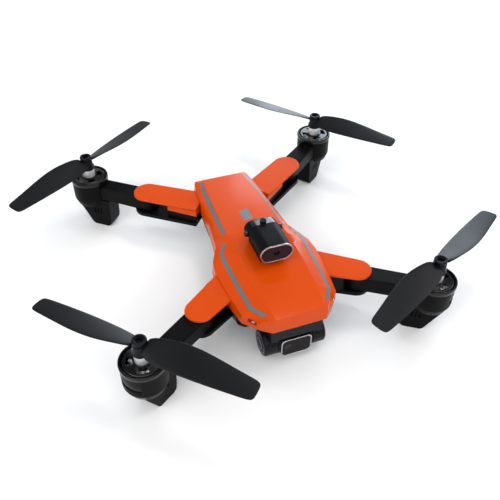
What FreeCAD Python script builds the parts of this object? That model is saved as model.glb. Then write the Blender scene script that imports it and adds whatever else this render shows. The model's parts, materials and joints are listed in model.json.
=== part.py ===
import FreeCAD, Part
import math
import os
from FreeCAD import Vector

# Folding camera quadcopter, in millimetres.
# The nose points along -Y, +X is the machine's side seen on the right from the front, +Z is up.
# The origin is the middle of the flat belly face; the landing feet reach below it.

# ---- overall sizes ------------------------------------------------------------------
motor_spacing = 172.0        # between neighbouring motor axes, both ways
arm_reach = 45.2             # fold pin to motor axis
front_arm_angle = 34.4       # open front arm, degrees forward of straight out
rear_arm_angle = 39.6        # open rear arm, degrees rearward of straight out
belly_height = 16.5          # belly face above the ground
nose_y = -88.0
tail_y = 55.0
waist_y = -17.0              # seam between the canopy and the battery
rim_z = 11.5                 # seam between the orange and the black shell

# ---- shells -------------------------------------------------------------------------
shell_wall = 1.6
floor_thickness = 2.6
nose_floor_z = 13.4          # underside of the raised floor over the camera
tub_front_y = -66.0
screw_radius = 0.95
screw_length = 3.6
screw_head_radius = 1.9
screw_head_height = 0.9
screw_sink = 0.1
screw_inboard = 21.5         # from the fold pin
board_z = 5.0
board_thickness = 1.6
board_half_width = 19.5
board_front_y = -61.0
board_rear_y = -24.5
board_post_radius = 2.2
stripe_width = 2.7
stripe_depth = 0.5
stripe_rise = 0.06
stripe_margin = 0.3
inlay_front_y = -5.0
inlay_length = 13.0
inlay_half_width = 3.2
inlay_slant = 3.0

# ---- fold joint ---------------------------------------------------------------------
tab_top_z = 18.3
tab_thickness = 1.4
tab_end_radius = 8.6
tab_root_half_width = 10.4
rear_tab_end_radius = 9.6
rear_tab_root_rear_width = 12.8    # either side of the line through the pin and the motor
rear_tab_root_front_width = 7.8
rear_tab_length = 38.5
rear_tab_root_step = 1.2
tab_rim_radius = 0.8
belly_skim = 0.3               # cut off the belly's curved underside to leave it flat
belly_window_radius = 4.5
belly_window_y = -40.0
tab_root_start = 17.5        # solid root of the tab, measured inboard from the pin
tab_length = 30.0
tongue_half_width = 2.0
tongue_inner_x = 12.0
rear_tongue_offset = 5.0       # to the rear of the line through the pin and the motor
lug_bottom_z = 4.0
lug_thickness = 2.6
pin_radius = 1.5
pin_head_radius = 2.6
pin_head_height = 1.2
pin_clearance = 0.06
fold_gap = 0.4               # above and below the arm's eye

# ---- arm and motor pod --------------------------------------------------------------
arm_width = 13.4
arm_neck_width = 12.0
eye_radius = 6.9
cup_radius = 12.25
cup_inner_radius = 11.2
cup_band_radius = 12.55
cup_band_height = 2.8
cup_rim_z = 21.0
cup_floor_z = 7.6
cup_seam_z = 6.0
foot_half_width = 6.2
foot_inboard = 14.8
vent_width = 1.0
vent_bottom_z = -6.5
vent_height = 5.0
vent_pitch = 2.4

# ---- motor --------------------------------------------------------------------------
bell_radius = 10.6
bell_wall = 1.1
bell_top_z = 19.9
bell_skirt_z = 9.2
bell_plate = 1.2
bell_windows = 4
bell_window_inner = 4.9
bell_window_outer = 8.7
stator_radius = 8.7
stator_hub_radius = 4.4
stator_height = 7.4
stator_teeth = 9
stator_lift = 2.0            # from the cup's floor to the wound part
tube_radius = 2.6
shaft_radius = 1.0
shaft_clearance = 0.05
collar_radius = 3.8
collar_top_z = 26.6
spigot_radius = 2.6
spigot_height = 2.0

# ---- propeller ----------------------------------------------------------------------
propeller_radius = 65.5
propeller_hub_radius = 4.7
propeller_hub_top_z = 36.6
blade_z = 32.6               # blade pitch axis
propeller_socket = 1.6       # depth of the round recess in the hub's top
propeller_socket_radius = 2.4
# radius, chord, pitch in degrees and sweep of each section of a blade
blade_rows = [
    (3.4, 8.6, 26, 0.0), (9.0, 9.6, 24, 0.0), (16.0, 13.6, 20, 0.6),
    (24.0, 16.2, 17, 1.0), (36.0, 15.6, 13, 0.8), (50.0, 12.8, 10, 0.3),
    (61.0, 10.6, 8, 0.0), (propeller_radius - 1.4, 8.6, 7, -0.3), (propeller_radius, 5.0, 7, -0.5),
]
# a section of a blade, in shares of its chord and its thickness
blade_outline = [
    (-0.5, 0.0), (-0.25, 0.42), (0.0, 0.5), (0.3, 0.38), (0.5, 0.0), (0.3, -0.14), (0.0, -0.3), (-0.25, -0.3),
]
blade_angles = {"front_left": -45.2, "front_right": 27.6, "rear_left": 37.0, "rear_right": -50.3}
turns_left = {"front_left": True, "front_right": False, "rear_left": False, "rear_right": True}

# ---- camera -------------------------------------------------------------------------
camera_y = -76.5
camera_z = -4.2
camera_radius = 8.3
head_half_width = 10.4
cap_end = 18.8
cap_gap = 0.4
plate_half_width = 9.3
plate_half_height = 6.6
plate_front = 9.0            # front of the face plate, from the tilt axis
plate_thickness = 1.0
trim_width = 0.7
lens_x = -5.0
lens_radius = 2.0
trunnion_radius = 2.4
trunnion_length = 3.6
running_clearance = 0.06
saddle_radius = 11.8
saddle_gap = 0.5

# ---- obstacle sensor on the canopy --------------------------------------------------
sensor_front_y = -52.0
sensor_rear_y = -23.5
sensor_half_width = 10.0
sensor_bottom_z = 32.0
sensor_top_z = 43.6
sensor_bezel_width = 0.8
sensor_eye_radius = 1.9

# ---- battery ------------------------------------------------------------------------
battery_half_width = 16.4
battery_bottom_z = 3.0
battery_clearance = 0.4
lid_seam_z = 19.8
cell_half_width = 13.8
contact_half_width = 9.0
contact_depth = 2.6
contact_reach = 0.7          # the contact springs reach into the notch of the case
contact_top_z = 12.0
contact_notch_depth = 1.6
cell_length = 56.0
button_radius = 3.0
button_travel = 0.8
latch_half_width = 6.0
latch_height = 2.6
latch_travel = 1.0

# ---- cross-sections of the body -----------------------------------------------------
# y, then half width and height of the deck edge, stripe ridge, flank edge and rim.
canopy_stations = [
    (nose_y, (14.4, 25.2), (15.9, 24.4), (16.2, 20.5), (15.8, 15.1)),
    (nose_y + 5.0, (15.2, 26.2), (19.2, 22.9), (21.3, 19.0), (21.0, 14.0)),
    (-73.0, (16.0, 27.2), (25.0, 21.8), (28.4, 18.6), (28.8, 12.5)),
    (-58.0, (16.5, 27.9), (26.0, 22.6), (30.4, 19.2), (31.2, rim_z)),
    (-36.0, (17.0, 28.3), (27.2, 23.8), (32.2, 19.6), (33.0, rim_z)),
    (-28.0, (17.0, 28.3), (27.0, 24.4), (31.0, 20.4), (31.8, rim_z)),
    (waist_y, (16.4, 28.3), (20.4, 27.3), (25.6, 22.0), (26.6, rim_z)),
]
tail_stations = [
    (waist_y, (17.6, 27.6), (22.6, 24.4), (25.2, lid_seam_z), (26.0, rim_z)),
    (10.0, (17.0, 26.0), (21.2, 23.2), (22.4, lid_seam_z), (22.8, rim_z)),
    (42.0, (15.0, 23.6), (18.8, 21.6), (20.8, lid_seam_z), (21.2, rim_z)),
    (tail_y - 4.0, (13.4, 22.8), (16.8, 21.2), (19.4, lid_seam_z), (20.0, rim_z)),
    (tail_y, (12.6, 20.3), (16.0, 20.1), (18.6, lid_seam_z), (19.4, rim_z)),
]

half_spacing = motor_spacing / 2
arm_top_z = tab_top_z - tab_thickness - fold_gap
arm_bottom_z = lug_bottom_z + lug_thickness + fold_gap
ground_z = -belly_height
bay_half_width = battery_half_width + battery_clearance
corners = ["front_left", "front_right", "rear_left", "rear_right"]


# ---- small helpers ------------------------------------------------------------------
def block(x0, x1, y0, y1, z0, z1):
    return Part.makeBox(x1 - x0, y1 - y0, z1 - z0, Vector(x0, y0, z0))


def post(radius, z0, z1, x=0.0, y=0.0):
    return Part.makeCylinder(radius, z1 - z0, Vector(x, y, z0), Vector(0, 0, 1))


def rod_x(radius, x0, x1, y, z):
    return Part.makeCylinder(radius, x1 - x0, Vector(x0, y, z), Vector(1, 0, 0))


def rod_y(radius, y0, y1, x, z):
    return Part.makeCylinder(radius, y1 - y0, Vector(x, y0, z), Vector(0, 1, 0))


def polygon(points):
    return Part.makePolygon(points + [points[0]])


def plan_prism(outline, z0, z1):
    face = Part.Face(polygon([Vector(x, y, z0) for x, y in outline]))
    return face.extrude(Vector(0, 0, z1 - z0))


def side_prism(outline, half_width):
    """Outline in the XZ plane, extruded both ways along Y."""
    face = Part.Face(polygon([Vector(x, -half_width, z) for x, z in outline]))
    return face.extrude(Vector(0, 2 * half_width, 0))


def mirrored(shape):
    return shape.mirror(Vector(0, 0, 0), Vector(1, 0, 0))


def both_sides(shape):
    return shape.fuse(mirrored(shape))


def revolve(outline):
    """Outline of radius and height, turned about Z."""
    face = Part.Face(polygon([Vector(r, 0, z) for r, z in outline]))
    return face.revolve(Vector(0, 0, 0), Vector(0, 0, 1), 360)


def arc_edges(shape, test):
    return [edge for edge in shape.Edges if test(edge)]


def between(stations, y):
    """The body's cross-section at y, between the listed ones."""
    for low, high in zip(stations, stations[1:]):
        if low[0] <= y <= high[0]:
            share = (y - low[0]) / (high[0] - low[0])
            pairs = zip(low[1:], high[1:])
            return [(a[0] + share * (b[0] - a[0]), a[1] + share * (b[1] - a[1])) for a, b in pairs]
    raise ValueError("the body has no section at y = %g" % y)


def flank_point(stations, y, level, inset=0.0):
    """A point of the section: level 0 is the deck edge, 1 the stripe ridge, 2 the flank, 3 the rim."""
    x, z = between(stations, y)[level]
    sinks = (1.0, 0.9, 0.3, 0.0)
    return Vector(x - inset * (0.5 if level == 0 else 1.0), y, z - inset * sinks[level])


def body_section(stations, y, inset, bottom_z=None):
    side = [flank_point(stations, y, level, inset) for level in range(4)]
    if bottom_z is not None:
        side.append(Vector(side[3].x, y, bottom_z))
    left = [Vector(-point.x, point.y, point.z) for point in reversed(side)]
    return polygon(side + left)


def body_loft(stations, ys, inset, bottom_z=None):
    return Part.makeLoft([body_section(stations, y, inset, bottom_z) for y in ys], True, True)


def pin_place(corner):
    """The fold pin's axis, and the direction from it to the motor."""
    front = corner.startswith("front")
    angle = math.radians(-front_arm_angle if front else rear_arm_angle)
    reach = Vector(math.cos(angle), math.sin(angle), 0)
    motor = Vector(half_spacing, -half_spacing if front else half_spacing, 0)
    pin = motor - reach * arm_reach
    if corner.endswith("left"):
        return Vector(-pin.x, pin.y, 0), Vector(-reach.x, reach.y, 0)
    return pin, reach


def motor_place(corner):
    pin, reach = pin_place(corner)
    return pin + reach * arm_reach


def to_corner(shape, corner):
    """Moves a shape drawn with its motor axis at the origin and its arm along -X."""
    placed = shape.copy()
    reach = pin_place(corner)[1]
    angle = math.degrees(math.atan2(reach.y, reach.x))
    placed.rotate(Vector(0, 0, 0), Vector(0, 0, 1), angle)
    placed.translate(motor_place(corner))
    return placed


def tab_outline(left_width, right_width, length, end_radius):
    """Plan of a fold tab drawn with its pin at the origin and the body along -X."""
    flat = [
        Vector(0, end_radius, 0),
        Vector(-length, left_width, 0),
        Vector(-length, -right_width, 0),
        Vector(0, -end_radius, 0),
    ]
    edges = [Part.makeLine(a, b) for a, b in zip(flat, flat[1:])]
    tip = Part.Arc(flat[3], Vector(end_radius, 0, 0), flat[0]).toShape()
    return Part.Face(Part.Wire(edges + [tip]))


def tab_widths(corner):
    """How far a tab's root reaches to the left and right of its line, seen from the body."""
    if corner.startswith("front"):
        return tab_root_half_width, tab_root_half_width
    if corner.endswith("left"):
        return rear_tab_root_front_width, rear_tab_root_rear_width
    return rear_tab_root_rear_width, rear_tab_root_front_width


def at_pin(shape, corner):
    placed = shape.copy()
    pin, reach = pin_place(corner)
    placed.rotate(Vector(0, 0, 0), Vector(0, 0, 1), math.degrees(math.atan2(reach.y, reach.x)))
    placed.translate(pin)
    return placed


# ---- body shells --------------------------------------------------------------------
def canopy_ys():
    ys = [station[0] for station in canopy_stations]
    ys[-1] = waist_y - battery_clearance / 2
    return ys


def canopy_hollow():
    return body_loft(canopy_stations, [nose_y + shell_wall] + canopy_ys()[1:], shell_wall, 0.0)


def canopy():
    return body_loft(canopy_stations, canopy_ys(), 0.0).cut(canopy_hollow())


def tail_rails():
    """The orange shell beside the battery bay."""
    ys = [station[0] for station in tail_stations]
    ys[0] = waist_y - battery_clearance / 2
    solid = Part.makeLoft([rail_section(y) for y in ys], True, True)
    return both_sides(solid)


def rail_section(y):
    wall = flank_point(tail_stations, max(y, waist_y), 2)
    rim = flank_point(tail_stations, max(y, waist_y), 3)
    top = lid_seam_z - battery_clearance
    return polygon([Vector(bay_half_width, y, top), Vector(wall.x, y, top), Vector(rim.x, y, rim_z),
                    Vector(bay_half_width, y, rim_z)])


def tab_plate(corner, z0, z1):
    """The flat part of a fold tab or lug, out to its rounded end."""
    front = corner.startswith("front")
    length = tab_length if front else rear_tab_length
    end_radius = tab_end_radius if front else rear_tab_end_radius
    left, right = tab_widths(corner)
    face = tab_outline(left, right, length, end_radius)
    face.translate(Vector(0, 0, z0))
    return face.extrude(Vector(0, 0, z1 - z0))


def tab_root(corner, z0, z1):
    """The deep end of a fold tab or lug, inboard of the arm's swing."""
    front = corner.startswith("front")
    length = tab_length if front else rear_tab_length
    step = 0 if front else rear_tab_root_step
    left, right = tab_widths(corner)
    root = block(-length, -tab_root_start, step - right, left - step, z0, z1)
    return root.fuse(tab_tongue(corner, z0, z1))


def tab_tongue(corner, z0, z1):
    """What carries a tab's root on through the side of the body, however far out its pin stands."""
    pin, reach = pin_place(corner)
    run = (abs(pin.x) - tongue_inner_x) / abs(reach.x)
    aside = 0 if corner.startswith("front") else rear_tongue_offset
    if corner.endswith("right"):
        aside = -aside
    return block(-run, -tab_root_start, -aside - tongue_half_width, tongue_half_width - aside, z0, z1)


def nose_light_pocket(grow=0.0):
    """Recess in the nose cheek for a navigation light, on the +X side."""
    shape = block(-3.4 - grow, 3.4 + grow, -1.4, 1.4 + grow, -1.5 - grow, 1.5 + grow)
    shape.rotate(Vector(0, 0, 0), Vector(0, 0, 1), 35)
    shape.translate(Vector(25.0, -78.3, 17.6))
    return shape


def top_tab(corner):
    plate = tab_plate(corner, tab_top_z - tab_thickness, tab_top_z)
    rim_edges = arc_edges(plate, lambda edge: all(abs(v.Z - tab_top_z) < 1e-6 for v in edge.Vertexes))
    plate = plate.makeFillet(tab_rim_radius, rim_edges)
    return plate.fuse(tab_root(corner, rim_z, tab_top_z - tab_thickness))


def top_shell():
    shell = canopy().fuse(tail_rails())
    hollow = canopy_hollow().fuse(battery_bay())
    for corner in corners:
        hole = at_pin(post(pin_radius + pin_clearance, rim_z, tab_top_z - tab_thickness / 2), corner)
        shell = shell.fuse(at_pin(top_tab(corner), corner).cut(hollow).cut(hole))
    shell = shell.cut(both_sides(nose_light_pocket()))
    shell = shell.cut(canopy_stripe(0.02)).cut(mirrored(canopy_stripe(0.02)))
    return shell.removeSplitter()


def battery_bay():
    """The space that the battery and its lid slide through."""
    front = waist_y - battery_clearance / 2
    bottom = battery_bottom_z - battery_clearance
    lid_bottom = lid_seam_z - battery_clearance
    bay = block(-bay_half_width, bay_half_width, front, 2 * tail_y, bottom, lid_bottom)
    wide = half_spacing / 2
    return bay.fuse(block(-wide, wide, front, 2 * tail_y, lid_bottom, propeller_hub_top_z))


def tub_section(y, inset=0.0, floor=0.0):
    rim = flank_point(canopy_stations if y < waist_y else tail_stations, y, 3)
    wide = rim.x - 0.2 - inset
    points = [(wide, rim_z), (wide - 1.2, 4.0 + floor), (wide - 6.0, floor)]
    side = [Vector(x, y, z) for x, z in points]
    left = [Vector(-point.x, point.y, point.z) for point in reversed(side)]
    return polygon(side + left)


def tub(inset=0.0, floor=0.0, front=0.0):
    ys = [tub_front_y + front, -58.0, -36.0, -28.0, waist_y, 10.0, 42.0, tail_y]
    return Part.makeLoft([tub_section(y, inset, floor) for y in ys], True, True)


def nose_floor():
    """Raised floor of the nose, inside the canopy and over the camera."""
    ys = [nose_y + shell_wall + 0.1, nose_y + 5.0, -73.0, tub_front_y]
    edge = []
    for y in ys:
        rim = flank_point(canopy_stations, y, 3)
        edge.append((rim.x - shell_wall - 0.2, y))
    outline = edge + [(-x, y) for x, y in reversed(edge)]
    return plan_prism(outline, nose_floor_z, nose_floor_z + shell_wall)


def bottom_shell():
    shell = tub(0.0, -belly_skim).fuse(nose_floor())
    lip = block(-27, 27, tub_front_y, tub_front_y + shell_wall, rim_z - 3, nose_floor_z + shell_wall)
    shell = shell.fuse(lip)
    cavity = tub(shell_wall, shell_wall, shell_wall)
    bay_front = waist_y - battery_clearance / 2
    cavity = cavity.common(block(-half_spacing, half_spacing, nose_y, bay_front, 0, lid_seam_z))
    shell = shell.cut(cavity).cut(battery_bay())
    inside = cavity.fuse(battery_bay())
    for corner in corners:
        lug = tab_plate(corner, lug_bottom_z, lug_bottom_z + lug_thickness)
        lug = lug.fuse(tab_root(corner, lug_bottom_z, rim_z))
        hole = post(pin_radius + pin_clearance, 0, rim_z)
        sink = post(pin_head_radius + 0.1, 0, lug_bottom_z + pin_head_height)
        shell = shell.fuse(at_pin(lug.cut(hole).cut(sink), corner).cut(inside))
    shell = shell.cut(post(belly_window_radius + 0.1, -1, 2, 0, belly_window_y))
    for x, y, face in screw_places():
        seat = face + screw_head_height + screw_sink
        shell = shell.cut(post(screw_head_radius + screw_sink, face - 1, seat, x, y))
        shell = shell.cut(post(screw_radius + 0.05, face - 1, seat + screw_length, x, y))
    for x, y in board_posts():
        shell = shell.fuse(post(board_post_radius, floor_thickness / 2, board_z, x, y))
    under_belly = block(-half_spacing, half_spacing, nose_y, 2 * tail_y, -belly_skim - 1, 0)
    return shell.cut(under_belly).removeSplitter()


def screw_places():
    """Where each case screw enters, and the height of the face that it enters."""
    places = []
    for corner in corners:
        pin, reach = pin_place(corner)
        spot = pin - reach * screw_inboard
        places.append((spot.x, spot.y, lug_bottom_z))
    return places


def shell_screws():
    parts = []
    for x, y, face in screw_places():
        seat = face + screw_head_height + screw_sink
        head = post(screw_head_radius, face + screw_sink, seat, x, y)
        parts.append(head.fuse(post(screw_radius, seat, seat + screw_length - screw_sink, x, y)))
    return Part.makeCompound(parts)


def board_posts():
    x = board_half_width - board_post_radius
    return [(side * x, y) for side in (-1, 1) for y in (board_front_y + 3.0, board_rear_y - 3.0)]


def main_board():
    top = board_z + board_thickness
    board = block(-board_half_width, board_half_width, board_front_y, board_rear_y, board_z, top)
    # middle x, middle y, width, length and height of each chip
    chips = [
        (-4.0, -43.0, 10.0, 10.0, 1.4),
        (8.5, -48.5, 7.0, 7.0, 1.2),
        (-12.0, -33.0, 6.0, 6.0, 3.2),
        (9.0, -32.0, 10.0, 6.0, 2.2),
    ]
    for x, y, width, length, height in chips:
        chip = block(-width / 2, width / 2, -length / 2, length / 2, top, top + height)
        chip.translate(Vector(x, y, 0))
        board = board.fuse(chip)
    return board


def contact_block():
    """Spring contacts that meet the battery, behind the main board."""
    rear = waist_y - battery_clearance / 2
    front = rear - contact_depth
    body = block(-contact_half_width, contact_half_width, front, rear, shell_wall, contact_top_z)
    blades = []
    for x in (-6.0, -2.0, 2.0, 6.0):
        blade = block(x - 0.6, x + 0.6, rear, rear + contact_reach, contact_top_z - 7.0, contact_top_z - 2.0)
        blades.append(blade)
    return body.fuse(blades)


def belly_window():
    """Round cover of the downward sensor, flush with the belly."""
    return post(belly_window_radius, 0.2, 2.0, 0, belly_window_y)


def hinge_pins():
    pins = []
    for corner in corners:
        shank = post(pin_radius, lug_bottom_z + pin_head_height, tab_top_z - tab_thickness / 2 - 0.1)
        head = post(pin_head_radius, lug_bottom_z + 0.1, lug_bottom_z + pin_head_height)
        pins.append(at_pin(shank.fuse(head), corner))
    return Part.makeCompound(pins)


# ---- stripes and lights -------------------------------------------------------------
def strip_between(stations, ys, high_level, low_level, from_low, grow):
    """A flat strip let into the body's skin between two of its edges, set off from one of them."""
    sections = []
    for y in ys:
        high_edge = flank_point(stations, y, high_level)
        low_edge = flank_point(stations, y, low_level)
        along = (low_edge - high_edge).normalize()
        out = Vector(-along.z, 0, along.x)
        if from_low:
            start = low_edge - along * (stripe_margin + stripe_width + grow)
        else:
            start = high_edge + along * (stripe_margin - grow)
        end = start + along * (stripe_width + 2 * grow)
        low = out * -(stripe_depth + grow)
        high = out * (stripe_rise + grow)
        sections.append(polygon([start + low, end + low, end + high, start + high]))
    return Part.makeLoft(sections, True, True)


def canopy_stripe(grow=0.0):
    ys = [-82.5, -73.0, -58.0, -36.0, -28.0, -21.5]
    return strip_between(canopy_stations, ys, 0, 1, True, grow)


def battery_stripe(grow=0.0):
    return strip_between(tail_stations, [-13.0, 10.0, 42.0, 49.0], 0, 1, False, grow)


def flank_stripes():
    return Part.makeCompound([canopy_stripe(), mirrored(canopy_stripe())])


def nose_lights():
    lens = nose_light_pocket(-0.1)
    lens = lens.common(body_loft(canopy_stations, [s[0] for s in canopy_stations], 0.3, 0.0))
    return Part.makeCompound([lens, mirrored(lens)])


# ---- obstacle sensor ----------------------------------------------------------------
def stadium(half_width, bottom, top, y0, y1):
    radius = (top - bottom) / 2
    middle = (top + bottom) / 2
    core = block(-half_width + radius, half_width - radius, y0, y1, bottom, top)
    ends = rod_y(radius, y0, y1, half_width - radius, middle)
    return core.fuse(ends).fuse(rod_y(radius, y0, y1, radius - half_width, middle))


def sensor_housing():
    body = stadium(sensor_half_width, sensor_bottom_z, sensor_top_z, sensor_front_y + 0.8, sensor_rear_y)
    rear_rim = [e for e in body.Edges if all(abs(v.Y - sensor_rear_y) < 1e-6 for v in e.Vertexes)]
    body = body.makeFillet(1.0, rear_rim)
    deck = max(station[1][1] for station in canopy_stations)
    foot = block(-7.5, 7.5, sensor_front_y + 6.0, sensor_rear_y - 2.0, deck, sensor_bottom_z + 1.0)
    body = body.fuse(foot)
    inner = sensor_bezel_width + 0.05
    window = stadium(sensor_half_width - inner, sensor_bottom_z + inner, sensor_top_z - inner,
                     sensor_front_y - 1, sensor_front_y + 2.2)
    return body.cut(window).removeSplitter()


def sensor_bezel():
    outer = stadium(sensor_half_width, sensor_bottom_z, sensor_top_z, sensor_front_y, sensor_front_y + 0.8)
    width = sensor_bezel_width
    inner = stadium(sensor_half_width - width, sensor_bottom_z + width, sensor_top_z - width,
                    sensor_front_y - 1, sensor_front_y + 2)
    return outer.cut(inner)


def sensor_window():
    inset = sensor_bezel_width + 0.1
    glass = stadium(sensor_half_width - inset, sensor_bottom_z + inset, sensor_top_z - inset,
                    sensor_front_y + 0.5, sensor_front_y + 2.2)
    middle = (sensor_bottom_z + sensor_top_z) / 2
    return glass.cut(rod_y(sensor_eye_radius, sensor_front_y, sensor_front_y + 1.5, 0, middle))


def sensor_knobs():
    """Two side buds and one on top of the sensor housing."""
    middle = (sensor_bottom_z + sensor_top_z) / 2
    side = rod_x(1.7, sensor_half_width, sensor_half_width + 1.6, -30.0, middle)
    top = post(1.9, sensor_top_z, sensor_top_z + 1.4, 0, -29.5)
    return Part.makeCompound([side, mirrored(side), top])


# ---- camera -------------------------------------------------------------------------
def camera_mount():
    """Carrier under the nose with an end cap on each side of the tilting head."""
    roof = block(-15.5, 15.5, camera_y - 8.5, tub_front_y - 0.3, camera_z + 7.0, nose_floor_z)
    saddle = rod_x(saddle_radius, -head_half_width - cap_gap, head_half_width + cap_gap, camera_y, camera_z)
    caps = rod_x(camera_radius, head_half_width + cap_gap, cap_end, camera_y, camera_z)
    end_edges = arc_edges(caps, lambda edge: all(abs(v.X - cap_end) < 1e-6 for v in edge.Vertexes))
    caps = caps.makeChamfer(0.8, end_edges)
    stem = block(head_half_width + cap_gap, 15.5, camera_y - 6.0, camera_y + 6.0, camera_z, nose_floor_z)
    socket = rod_x(trunnion_radius + running_clearance, 0, head_half_width + cap_gap + trunnion_length + 0.4,
                   camera_y, camera_z)
    motor_pocket = rod_x(4.3, head_half_width + 2.2, cap_end - 1.2, camera_y, camera_z)
    mount = roof.cut(saddle)
    for cap in (caps.fuse(stem), mirrored(caps.fuse(stem))):
        mount = mount.fuse(cap)
    eye = rod_y(1.1, camera_y - 9, camera_y - 5.4, 13.7, camera_z + 4.6)
    mount = mount.cut(both_sides(socket)).cut(motor_pocket).cut(both_sides(eye))
    return mount.removeSplitter()


def tilt_motor():
    """Small geared motor in the +X cap that turns the head by its trunnion."""
    body = rod_x(4.2, head_half_width + 2.3, cap_end - 1.3, camera_y, camera_z)
    bore = rod_x(trunnion_radius + running_clearance, 0, head_half_width + cap_gap + trunnion_length + 0.4,
                 camera_y, camera_z)
    return body.cut(bore)


def face_outline(half_width, half_height, y0, y1):
    body = block(-half_width, half_width, y0, y1, camera_z - half_height, camera_z + half_height)
    upright = [e for e in body.Edges if abs(e.Vertexes[0].X - e.Vertexes[1].X) < 1e-6
               and abs(e.Vertexes[0].Z - e.Vertexes[1].Z) < 1e-6]
    return body.makeFillet(2.6, upright)


def camera_head():
    drum = rod_x(camera_radius, -head_half_width, head_half_width, camera_y, camera_z)
    plate_back = camera_y - plate_front + plate_thickness
    box = face_outline(plate_half_width, plate_half_height, plate_back, camera_y)
    trunnion_end = head_half_width + cap_gap + trunnion_length
    trunnions = both_sides(rod_x(trunnion_radius, 0, trunnion_end, camera_y, camera_z))
    recess = face_outline(plate_half_width - trim_width, plate_half_height - trim_width,
                          camera_y - plate_front - 1, camera_y - plate_front + plate_thickness + 0.6)
    front = camera_y - plate_front
    ahead = face_outline(plate_half_width, plate_half_height, front - 1, front + plate_thickness)
    return drum.fuse(box).fuse(trunnions).cut(ahead).cut(recess).removeSplitter()


def camera_trim():
    front = camera_y - plate_front
    outer = face_outline(plate_half_width, plate_half_height, front, front + plate_thickness)
    inner = face_outline(plate_half_width - trim_width, plate_half_height - trim_width, front - 1, front + 3)
    return outer.cut(inner)


def camera_plate():
    front = camera_y - plate_front + 0.15
    plate = face_outline(plate_half_width - trim_width - 0.05, plate_half_height - trim_width - 0.05,
                         front, front + plate_thickness + 0.45)
    return plate.cut(rod_y(lens_radius + 0.05, front - 1, front + 5, lens_x, camera_z + 0.4))


def camera_lens():
    front = camera_y - plate_front + 0.35
    return rod_y(lens_radius, front, front + 1.25, lens_x, camera_z + 0.4)


# ---- battery ------------------------------------------------------------------------
def battery_case():
    front = waist_y + battery_clearance / 2
    case = block(-battery_half_width, battery_half_width, front, tail_y, battery_bottom_z, lid_seam_z)
    cells = block(-cell_half_width - 0.2, cell_half_width + 0.2, waist_y + 3.8, waist_y + 4.2 + cell_length,
                  battery_bottom_z + 1.8, lid_seam_z)
    button_way = rod_y(button_radius + 0.05, tail_y - 4.5, tail_y + 1, 0, 14.0)
    latch_way = block(-latch_half_width - 0.2, latch_half_width + 0.2, tail_y - 4.0, tail_y + 1,
                      6.0 - 0.2, 6.0 + latch_height + latch_travel + 0.4)
    notch = block(-contact_half_width, contact_half_width, waist_y - 1, waist_y + contact_notch_depth,
                  contact_top_z - 8.0, contact_top_z - 1.0)
    return case.cut(cells).cut(button_way).cut(latch_way).cut(notch)


def battery_cells():
    z0 = battery_bottom_z + 1.8
    z1 = lid_seam_z - 1.0
    width = cell_half_width - 0.3
    cells = [block(0.3, width, waist_y + 4, waist_y + 4 + cell_length, z0, z1)]
    cells.append(block(-width, -0.3, waist_y + 4, waist_y + 4 + cell_length, z0, z1))
    return Part.makeCompound(cells)


def lid_section(y):
    side = [flank_point(tail_stations, y, level) for level in range(3)]
    left = [Vector(-point.x, point.y, point.z) for point in reversed(side)]
    return polygon(side + left)


def battery_lid():
    ys = [waist_y + battery_clearance / 2] + [station[0] for station in tail_stations[1:]]
    lid = Part.makeLoft([lid_section(y) for y in ys], True, True)
    lid = lid.cut(battery_stripe(0.02)).cut(mirrored(battery_stripe(0.02)))
    return lid.cut(deck_label(0.02)).removeSplitter()


def battery_stripes():
    return Part.makeCompound([battery_stripe(), mirrored(battery_stripe())])


def deck_label(grow=0.0):
    """Plain inlay on the battery's deck."""
    front = inlay_front_y - grow
    rear = inlay_front_y + inlay_length + grow
    wide = inlay_half_width + grow
    outline = [(-wide, front), (wide, front), (wide, rear), (-wide, rear - inlay_slant)]
    inlay = plan_prism(outline, lid_seam_z, propeller_hub_top_z)
    return inlay.common(Part.makeLoft([deck_skin(y, grow) for y in (waist_y + 1.0, 10.0)], True, True))


def deck_skin(y, grow):
    """A slice through the deck's skin, as thick as the inlay."""
    deck = flank_point(tail_stations, y, 0)
    low = deck.z - stripe_depth - grow
    high = deck.z + stripe_rise + grow
    right = [Vector(deck.x, y, low), Vector(deck.x, y, high)]
    left = [Vector(-point.x, point.y, point.z) for point in reversed(right)]
    return polygon(right + left)


def power_button():
    return rod_y(button_radius, tail_y - 3.4, tail_y + 0.9, 0, 14.0)


def battery_latch():
    return block(-latch_half_width, latch_half_width, tail_y - 3.6, tail_y + 0.8, 6.0, 6.0 + latch_height)


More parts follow.
